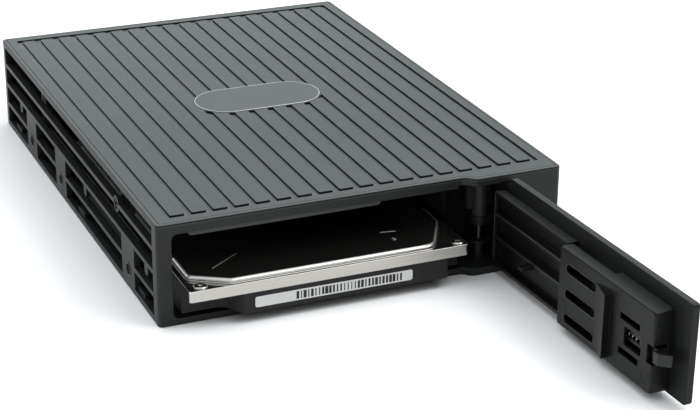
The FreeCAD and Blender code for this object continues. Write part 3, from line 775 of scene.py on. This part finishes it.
def row_of_blocks(name, body, slot, finish, count, first, last, size, narrow=1.0, seed=1):
    """A row of blocks from first to last along X."""
    step = (Vector(last) - Vector(first)) / (count - 1)
    values = {"Count": count, "First": tuple(first), "Step": tuple(step), "Size": tuple(size)}
    values.update({"Narrow": narrow, "Seed": seed, "Finish": finish})
    grow(name, bar_row, body, values)


# %% bars on the label
low, high = corners_of("drive_label")
bar_count = 30
bar_z = (low.z + high.z) / 2
bar_size = (0.86 * mm, 0.04 * mm, (high.z - low.z) * 0.72)
bar_left = low.x + 10.4 * mm
bar_right = high.x - 3.0 * mm
row_of_blocks(
    "label_bars", "carriage", "label_film", ink_black, bar_count,
    (bar_left, low.y, bar_z), (bar_right, low.y, bar_z), bar_size, narrow=0.2, seed=4,
)

# %% [markdown]
# ## Screws of the drive's cover
# Four small screws hold the drive's cover. Each has a flat domed head with a six-lobed recess. A
# cutter could sink the recess, but rings of points give cleaner faces: the recess is a ring whose
# radius swings six times round. The head is built once, and the tree sets it on the places of the
# four plain screws.


# %% screw head
def ring(shape, radius, height, lobe=0.0, count=36):
    """A ring of points; lobe swings the radius six times round."""
    points = []
    for step in range(count):
        angle = 2 * math.pi * step / count
        reach = radius + lobe * math.cos(6 * angle)
        points.append(shape.verts.new((reach * math.cos(angle), reach * math.sin(angle), height)))
    return points


def screw_head(radius, tall):
    """A domed head with a six-lobed recess, closed below."""
    shape = bmesh.new()
    levels = [
        (radius, -0.3 * tall, 0.0), (radius, 0.25 * tall, 0.0), (radius * 0.93, 0.6 * tall, 0.0),
        (radius * 0.75, 0.92 * tall, 0.0), (radius * 0.55, tall, 0.0),
        (radius * 0.38, tall, radius * 0.07), (radius * 0.36, 0.3 * tall, radius * 0.07),
    ]
    rings = [ring(shape, *level) for level in levels]
    for below, above in zip(rings, rings[1:]):
        for step in range(len(below)):
            after = (step + 1) % len(below)
            shape.faces.new((below[step], below[after], above[after], above[step]))
    shape.faces.new(rings[-1])
    shape.faces.new(list(reversed(rings[0])))
    mesh = to_mesh(shape, "screw_head")
    mesh.shade_smooth()
    mesh.set_sharp_from_angle(angle=math.radians(50))
    return bpy.data.objects.new("screw_head", mesh)


def loose_boxes(name):
    """Lowest and highest corners of each separate solid in a node."""
    shape = merged(name)
    left = set(shape.verts)
    boxes = []
    while left:
        group = [left.pop()]
        for vert in group:
            near = {edge.other_vert(vert) for edge in vert.link_edges} & left
            left -= near
            group.extend(near)
        corners = [[pick(v.co[axis] for v in group) for axis in range(3)] for pick in (min, max)]
        boxes.append((Vector(corners[0]), Vector(corners[1])))
    shape.free()
    return sorted(boxes, key=lambda corners: tuple(corners[0]))


# %% heads on the cover
def make_heads():
    """One head on each point."""
    tree, given = new_tree("heads", [("Head", "Object")])
    head = add(tree, "GeometryNodeObjectInfo")
    row = add(tree, "GeometryNodeInstanceOnPoints")
    join(
        tree,
        (given["Head"], head.inputs["Object"]),
        (given["Points"], row.inputs["Points"]),
        (head.outputs["Geometry"], row.inputs["Instance"]),
    )
    return close_tree(tree, given, row.outputs[0])


heads = make_heads()
sheet_thick = 0.6 * mm
plate_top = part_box("drive_base")[1][2] + sheet_thick
screws = loose_boxes("drive_cover_screws")
head_radius = (screws[0][1].x - screws[0][0].x) / 2
head_tall = screws[0][1].z - plate_top
places = [((low.x + high.x) / 2, (low.y + high.y) / 2, plate_top) for low, high in screws]
head_values = {"Head": screw_head(head_radius, head_tall), "Finish": screw_steel}
drive_screws = grow("drive_screw_heads", heads, "carriage", head_values, places)
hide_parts("drive_cover_screws")
print("screw places:", len(places), "head:", round(head_radius / mm, 2), round(head_tall / mm, 2))

# %% [markdown]
# ## Coil of the latch
# A coil of thin wire pushes the latch's bolt out. A spiral curve with a round section gives it. It
# lies along the bolt's way, so the spiral is turned to that way. When the bolt is pushed in, the
# coil gets shorter towards its stop.


# %% wire helpers
def wire_along(tree, path, radius, sides=8, caps=False, smooth=True):
    """A round wire along a path."""
    section = add(tree, "GeometryNodeCurvePrimitiveCircle", Resolution=sides)
    wire = add(tree, "GeometryNodeCurveToMesh", Fill_Caps=caps)
    join(
        tree,
        (radius, section.inputs["Radius"]),
        (path, wire.inputs["Curve"]),
        (section.outputs[0], wire.inputs["Profile Curve"]),
    )
    if not smooth:
        return wire.outputs[0]
    smoothed = add(tree, "GeometryNodeSetShadeSmooth")
    tree.links.new(wire.outputs[0], smoothed.inputs["Geometry"])
    return smoothed.outputs[0]


def set_down(tree, given, made):
    """Turn a shape and put it in its place, as the tree's inputs say."""
    turned = add(tree, "FunctionNodeEulerToRotation")
    placed = add(tree, "GeometryNodeTransform")
    join(
        tree,
        (given["Turn"], turned.inputs[0]),
        (made, placed.inputs["Geometry"]),
        (turned.outputs[0], placed.inputs["Rotation"]),
        (given["Place"], placed.inputs["Translation"]),
    )
    return placed.outputs[0]


# %% coil
def make_coil():
    """A round wire wound into a coil, turned and set in place."""
    kinds = [("Turns", "Float"), ("Coil Radius", "Float"), ("Wire Radius", "Float"), ("Length", "Float")]
    tree, given = new_tree("coil", kinds + [("Place", "Vector"), ("Turn", "Vector")])
    path = add(tree, "GeometryNodeCurveSpiral", Resolution=24)
    join(
        tree,
        (given["Turns"], path.inputs["Rotations"]),
        (given["Coil Radius"], path.inputs["Start Radius"]),
        (given["Coil Radius"], path.inputs["End Radius"]),
        (given["Length"], path.inputs["Height"]),
    )
    wire = wire_along(tree, path.outputs[0], given["Wire Radius"], caps=True)
    return close_tree(tree, given, set_down(tree, given, wire))


joints = {joint["name"]: joint for joint in frame["joints"]}
latch_way = Vector(joints["latch_slide"]["axis"]).normalized()
low, high = corners_of("latch_spring")
wire_radius = 0.2 * mm
coil_radius = (high.z - low.z) / 2 - wire_radius
coil_long = 8.5 * mm
coil_start = (low + high) / 2 - latch_way * coil_long / 2
coil_values = {
    "Turns": 6.0, "Coil Radius": coil_radius, "Wire Radius": wire_radius, "Length": coil_long,
    "Place": tuple(coil_start), "Turn": tuple(latch_way.to_track_quat("Z", "Y").to_euler()),
    "Finish": coil_steel,
}
coil = grow("latch_coil", make_coil(), "door", coil_values)
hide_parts("latch_spring")
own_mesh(coil)

# %% [markdown]
# ## Rim of the badge
# The oval badge has a bright cut edge all round and sits in a fine dark gap; the dark ring drawn for the gap
# is partly a painted shadow round the badge's edge. The path of both is a rectangle with fully rounded ends, and a
# fine round section along it catches the light from every side. A curve with a section is lighter than a ring that
# is cut from a solid.


# %% oval rim
def make_rim():
    """A fine round rim along a rectangle with rounded ends."""
    kinds = [("Long", "Float"), ("Wide", "Float"), ("Round", "Float"), ("Wire", "Float")]
    tree, given = new_tree("rim", kinds + [("Place", "Vector"), ("Turn", "Vector")])
    oblong = add(tree, "GeometryNodeCurvePrimitiveQuadrilateral")
    path = add(tree, "GeometryNodeFilletCurve", mode="POLY", Count=24, Limit_Radius=True)
    join(
        tree,
        (given["Long"], oblong.inputs["Width"]),
        (given["Wide"], oblong.inputs["Height"]),
        (oblong.outputs[0], path.inputs["Curve"]),
        (given["Round"], path.inputs["Radius"]),
    )
    wire = wire_along(tree, path.outputs[0], given["Wire"])
    return close_tree(tree, given, set_down(tree, given, wire))


rim = make_rim()
print("tree:", rim.name)


def oval_rim(name, body, slot, finish, long, wide, wire, place, turn=(0.0, 0.0, 0.0)):
    """A rim of wire round an oval with fully rounded ends."""
    values = {"Long": long, "Wide": wide, "Round": wide / 2, "Wire": wire, "Finish": finish}
    values.update({"Place": tuple(place), "Turn": turn})
    grow(name, rim, body, values)


# %% badge rim and the gap round it
low, high = corners_of("badge_plate")
badge_size = high - low
# The gap ring is a real dark gap and also a painted shadow round the badge.
for name, finish, outwards, wire, below_top in (
    ("badge_rim", rim_bright, -0.16 * mm, 0.14 * mm, 0.09 * mm),
    ("badge_gap", socket_black, 0.12 * mm, 0.16 * mm, 0.27 * mm),
):
    place = ((low.x + high.x) / 2, (low.y + high.y) / 2, high.z - below_top)
    long, wide = badge_size.x + 2 * outwards, badge_size.y + 2 * outwards
    oval_rim(name, "rack", "badge_metal", finish, long, wide, wire, place)

# %% [markdown]
# ## Pressed lines on the drive's cover
# The raised part of the drive's cover has a few fine pressed lines, which flash in the dark mirror.
# The rim tree gives them too: a long slim oval, turned on the cover and half sunk in it.

# %% pressed lines
cover_low, cover_high = corners_of("drive_top_cover")
cover_corner = Vector((cover_low.x, cover_low.y, cover_high.z))
pressed_wire = 0.06 * mm
for name, first, last, wide in (
    ("cover_line_long", (8.4, 8.1), (16.3, 13.8), 0.14 * mm),
    ("cover_line_short", (52.0, 11.9), (55.7, 11.3), 0.16 * mm),
    ("cover_dot", (53.4, 7.2), (53.6, 7.2), 0.9 * mm),
):
    ends = [cover_corner + Vector((x, y, 0.0)) * mm for x, y in (first, last)]
    way = ends[1] - ends[0]
    turn = (0.0, 0.0, math.atan2(way.y, way.x))
    middle = (ends[0] + ends[1]) / 2
    oval_rim(name, "carriage", "lid_steel", lid_steel, way.length + wide, wide, pressed_wire, middle, turn)

# %% [markdown]
# ## Highlight on the corner of the drive's cover
# A pale line, a painted highlight, runs along the edge of the raised part round its right front corner. A bead
# of fine wire laid along that edge shows it. The path is a bent line, and the two bends are arcs that are worked
# out from the straight runs, so that only the four ends of the runs have to be given.


# %% bead
def make_bead():
    """A round wire through the points, in their order."""
    tree, given = new_tree("bead", [("Wire", "Float")])
    points = add(tree, "GeometryNodeMeshToPoints")
    path = add(tree, "GeometryNodePointsToCurves")
    join(tree, (given["Points"], points.inputs["Mesh"]), (points.outputs[0], path.inputs["Points"]))
    return close_tree(tree, given, wire_along(tree, path.outputs[0], given["Wire"], caps=True))


def round_corner(before, corner, after, radius, steps=10):
    """Points of the arc that rounds a corner between two straight runs."""
    into, out = (corner - before).normalized(), (after - corner).normalized()
    turn = into.angle(out)
    reach = radius * math.tan(turn / 2)
    centre = corner - into * reach + Vector((-into.y, into.x)) * radius
    first = corner - into * reach - centre
    return [centre + Matrix.Rotation(turn * step / steps, 2) @ first for step in range(steps + 1)]


bead = make_bead()
print("tree:", bead.name)

# %% corner highlight
# A pale bead: a painted highlight along the corner.
corner_highlight = moulded_plastic("corner_highlight", (0.42, 0.41, 0.39), (0.56, 0.55, 0.52), 0.4, 0.5)
bead_run = [Vector(spot) for spot in ((40.0, -4.94), (66.54, -4.94), (73.44, 7.46), (73.44, 40.0))]
front_round, side_round = 4.0, 6.0
bead_back = 16.0
bead_z = 11.72
bead_path = round_corner(*bead_run[:3], front_round) + round_corner(*bead_run[1:], side_round)
bead_path.append(Vector((bead_run[2].x, bead_back)))
bead_points = [rack_place(spot.x, spot.y, bead_z) for spot in bead_path]
bead_values = {"Wire": 0.08 * mm, "Finish": corner_highlight}
grow("cover_worn_corner", bead, "carriage", bead_values, bead_points)

# %% [markdown]
# ## Contacts
# The tongues in the plugs carry flat gold contacts side by side. They are plain blocks a few
# hundredths of a millimetre proud, so the bar row serves again, with every block at its full width.

# %% contacts
contact_wide = 0.6 * mm
contact_tall = 0.06 * mm
for name, body, count, first_x, last_x, y, z, long in (
    ("drive_contacts", "carriage", 22, 12.4, 41.4, 91.9, 6.0, 3.2),
    ("data_contacts", "rack", 7, 17.1, 24.7, 119.0, 9.3, 4.6),
    ("power_contacts", "rack", 15, 33.6, 50.8, 119.0, 9.3, 4.6),
):
    ends = (rack_place(first_x, y, z), rack_place(last_x, y, z))
    size = (contact_wide, long * mm, contact_tall)
    row_of_blocks(name, body, "screw_steel", contact_gold, count, *ends, size)

# %% [markdown]
# ## Marks of the mould's pins
# Inside the door, pins pushed the moulding out of its mould, and each left a faint round line. A small
# tree sets a circle of fine wire on each point. The marks are placed as the door lies when it is shut,
# because its sizes are known there, and are then swung open with it.

# %% places on the door
hinge_place = Vector(joints["door_hinge"]["pos_m"])
swing = math.radians(-joints["door_hinge"]["range_deg"][0])
door_turn = (math.pi / 2, 0.0, swing)
box_face = 4.5
print("shut door turns by", round(math.degrees(swing), 1))


def on_door(x, y, z):
    """A place on the door, in millimetres from the left front corner with the door shut."""
    return Matrix.Rotation(swing, 3, "Z") @ (rack_place(x, y, z) - hinge_place) + hinge_place


# %% pin marks
def make_circles():
    """A circle of fine wire on each point, turned to face one way."""
    tree, given = new_tree("circles", [("Radius", "Float"), ("Wire", "Float"), ("Turn", "Vector")])
    path = add(tree, "GeometryNodeCurvePrimitiveCircle", Resolution=32)
    turned = add(tree, "FunctionNodeEulerToRotation")
    row = add(tree, "GeometryNodeInstanceOnPoints")
    wire = wire_along(tree, path.outputs[0], given["Wire"], sides=6, smooth=False)
    join(
        tree,
        (given["Radius"], path.inputs["Radius"]),
        (given["Turn"], turned.inputs[0]),
        (given["Points"], row.inputs["Points"]),
        (wire, row.inputs["Instance"]),
        (turned.outputs[0], row.inputs["Rotation"]),
    )
    return close_tree(tree, given, row.outputs[0])


circles = make_circles()
mark_values = {"Radius": 1.5 * mm, "Wire": 0.05 * mm, "Turn": door_turn, "Finish": door_black}
mark_places = [on_door(x, box_face, z) for x, z in ((42.2, 7.4), (21.5, 15.6), (8.6, 5.5))]
grow("pin_mark_circles", circles, "door", mark_values, mark_places)

# %% [markdown]
# ## Polished rims
# Some edges are smoother than the faces beside them, so they flash where the lamp stands right: the
# rims of the vents in the latch box, the ribs, the end and the fin of the tray next to it, and the rims
# of the screw holes in the sides. The trees for ovals, beads and circles give them all, in a glossy
# black or a dark gray. The dark gray beads in the tray are paler than the door: a painted highlight on their
# edges.

# %% rims of the vents
rim_black = moulded_plastic(
    "rim_black", (0.010, 0.010, 0.010), (0.016, 0.016, 0.016), 0.2, 0.6, 1500.0, 0.05
)
vent_left, vent_wide, vent_tall = 28.8, 12.5, 2.4
vent_wire = 0.13 * mm
for name, z in (("vent_rim_low", 4.85), ("vent_rim_mid", 11.0), ("vent_rim_high", 17.15)):
    middle = on_door(vent_left + vent_wide / 2, box_face, z)
    size = (vent_wide * mm, vent_tall * mm, vent_wire)
    oval_rim(name, "door", "door_plastic", rim_black, *size, middle, door_turn)

# %% edges in the tray
# Paler than the door: these beads paint a highlight along real edges.
edge_highlight_gray = moulded_plastic(
    "edge_highlight_gray", (0.014, 0.014, 0.014), (0.024, 0.024, 0.024), 0.3, 0.6, 1500.0, 0.05
)
for name, wire, first, last in (
    ("tray_rib_edge_low", 0.26, (45.0, 2.45, 10.1), (76.5, 2.45, 10.1)),
    ("tray_rib_edge_high", 0.26, (45.0, 2.45, 16.0), (76.5, 2.45, 16.0)),
    ("tray_end_edge", 0.1, (77.0, 2.5, 4.0), (77.0, 2.5, 21.0)),
    ("tray_fin_edge", 0.3, (58.8, 1.8, 9.45), (58.8, 5.3, 9.45)),
):
    ends = [on_door(*first), on_door(*last)]
    grow(name, bead, "door", {"Wire": wire * mm, "Finish": edge_highlight_gray}, ends)

# %% rims of the side holes
hole_turn = (0.0, math.pi / 2, 0.0)
hole_values = {"Radius": 1.55 * mm, "Wire": 0.14 * mm, "Turn": hole_turn, "Finish": rim_black}
rack_wide = 101.6
hole_z = 5.0
hole_places = [rack_place(x, y, hole_z) for x in (0.0, rack_wide) for y in (23.2, 83.2, 113.2)]
grow("side_hole_rims", circles, "rack", hole_values, hole_places)

# %% [markdown]
# ## Face of the strip over the opening
# A flat strip with round lower corners hangs behind the upper edge of the opening. It has a
# smoother face than the rest of the shell and shows as a paler band. The face is a thin plate that
# lies on the strip, drawn as an outline with round corners and given a small thickness. A plate of
# its own leaves the shell one piece with one finish.


# %% strip face
def plate_outline(wide, tall, radius, steps=8):
    """Corner points of a plate in X and Z: square above, round below."""
    points = [(wide, tall), (0.0, tall)]
    for centre, start in ((radius, math.pi), (wide - radius, 1.5 * math.pi)):
        for step in range(steps + 1):
            angle = start + math.pi / 2 * step / steps
            points.append((centre + radius * math.cos(angle), radius + radius * math.sin(angle)))
    return points


def thin_plate(name, corner, outline, thick, finish, body):
    """A plate of that outline, standing in X and Z, with its front at the corner's Y."""
    shape = bmesh.new()
    front = [shape.verts.new(corner + Vector((x, 0.0, z))) for x, z in outline]
    back = [shape.verts.new(corner + Vector((x, thick, z))) for x, z in outline]
    shape.faces.new(front)
    shape.faces.new(list(reversed(back)))
    for step in range(len(front)):
        after = (step + 1) % len(front)
        shape.faces.new((front[after], front[step], back[step], back[after]))
    bmesh.ops.recalc_face_normals(shape, faces=shape.faces)
    mesh = to_mesh(shape, name)
    mesh.materials.append(finish)
    piece = new_object(name, mesh)
    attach(piece, body)
    print(name, "faces:", len(mesh.polygons))


strip_pale = moulded_plastic("strip_pale", (0.030, 0.032, 0.030), (0.042, 0.044, 0.041), 0.4, 0.4)
strip_corner = rack_place(7.6, 0.35, 21.8)
strip_outline = plate_outline(47.4 * mm, 0.9 * mm, 0.85 * mm)
strip_thick = 0.1 * mm
thin_plate("strip_face", strip_corner, strip_outline, strip_thick, strip_pale, "rack")

# %% [markdown]
# ## Room
# The rack stands on a white sheet. A wide soft lamp stands to the right and above, so the shadows
# fall to the left and into the corner between drive and door. The room is bright at the back and dim
# low down on the camera's side, which keeps the upright faces dark. The camera and the mirrors see a
# paler sheet than the one that lights the rack, with a painted shadow in its nooks, so that the sheet comes out
# white without washing out the black.

# %% floor
floor_half = 3.0
floor_white = 1.5
nook_shadow_white = 0.85
nook_shadow_reach = 80 * mm


def make_paper():
    """White paper; camera and mirrors see a paler one, with a painted shadow in nooks."""
    material, tree, shader = new_material("floor_white")
    tree.nodes.remove(shader)
    paper = add(tree, "ShaderNodeBsdfDiffuse", Color=(0.86, 0.86, 0.86, 1))
    shown = add(tree, "ShaderNodeBsdfDiffuse")
    # Camera and mirrors see the sheet darker in nooks: a painted shadow.
    nook_shadow = add(tree, "ShaderNodeAmbientOcclusion", samples=32, Distance=nook_shadow_reach)
    white = spread(tree, step_mask(tree, nook_shadow.outputs["AO"], 0.10, 0.45), nook_shadow_white, floor_white)
    path = add(tree, "ShaderNodeLightPath")
    seen = add(tree, "ShaderNodeMath", operation="MAXIMUM")
    mix = add(tree, "ShaderNodeMixShader")
    join(
        tree,
        (white, shown.inputs["Color"]),
        (path.outputs["Is Camera Ray"], seen.inputs[0]),
        (path.outputs["Is Glossy Ray"], seen.inputs[1]),
        (seen.outputs[0], mix.inputs[0]),
        (paper.outputs[0], mix.inputs[1]),
        (shown.outputs[0], mix.inputs[2]),
        (mix.outputs[0], tree.nodes["Material Output"].inputs["Surface"]),
    )
    return material


floor_mesh = bpy.data.meshes.new("floor")
floor_corners = [(x * floor_half, y * floor_half, 0) for x, y in ((-1, -1), (1, -1), (1, 1), (-1, 1))]
floor_mesh.from_pydata(floor_corners, [], [(0, 1, 2, 3)])
floor_mesh.materials.append(make_paper())
floor = new_object("floor", floor_mesh)
print("floor:", 2 * floor_half, "m wide")


# %% lamp
def soft_lamp(name, place, aim, size, power):
    """A square lamp that looks from its place to its aim."""
    data = bpy.data.lights.new(name, "AREA")
    data.size = size
    data.energy = power
    lamp = new_object(name, data)
    lamp.location = place
    lamp.rotation_euler = (Vector(aim) - Vector(place)).to_track_quat("-Z", "Y").to_euler()
    print("lamp:", name, power, "W")


soft_lamp("right_over", (0.58, -0.45, 0.78), (0, 0, 0), 0.6, 3.2)


# %% sky
def make_sky():
    """A room that is bright at its back wall, dim low down by the camera, white where the camera looks."""
    world = bpy.data.worlds.new("room")
    bpy.context.scene.world = world
    world.use_nodes = True
    tree = world.node_tree
    sky = tree.nodes["Background"]
    sky.inputs["Color"].default_value = (0.95, 0.98, 1.0, 1)
    way = add(tree, "ShaderNodeTexCoord").outputs["Generated"]
    parts = parts_of(tree, way)
    back = add(tree, "ShaderNodeMapRange", From_Min=0.1, From_Max=0.8, To_Min=0.80, To_Max=1.05)
    beside = add(tree, "ShaderNodeVectorMath", operation="DOT_PRODUCT")
    beside.inputs[1].default_value = (*cam_place.xy.normalized(), 0.0)
    join(tree, (parts["Y"], back.inputs["Value"]), (way, beside.inputs[0]))
    near = step_mask(tree, beside.outputs["Value"], 0.1, 0.6)
    low_down = step_mask(tree, parts["Z"], 0.60, 0.30)
    dim = spread(tree, product(tree, near, low_down), 1.0, 0.2)
    path = add(tree, "ShaderNodeLightPath")
    room_light = product(tree, back.outputs["Result"], dim)
    tree.links.new(spread(tree, path.outputs["Is Camera Ray"], room_light, 1.0), sky.inputs["Strength"])


make_sky()
bpy.context.scene.view_settings.view_transform = "Standard"
print("room ready")
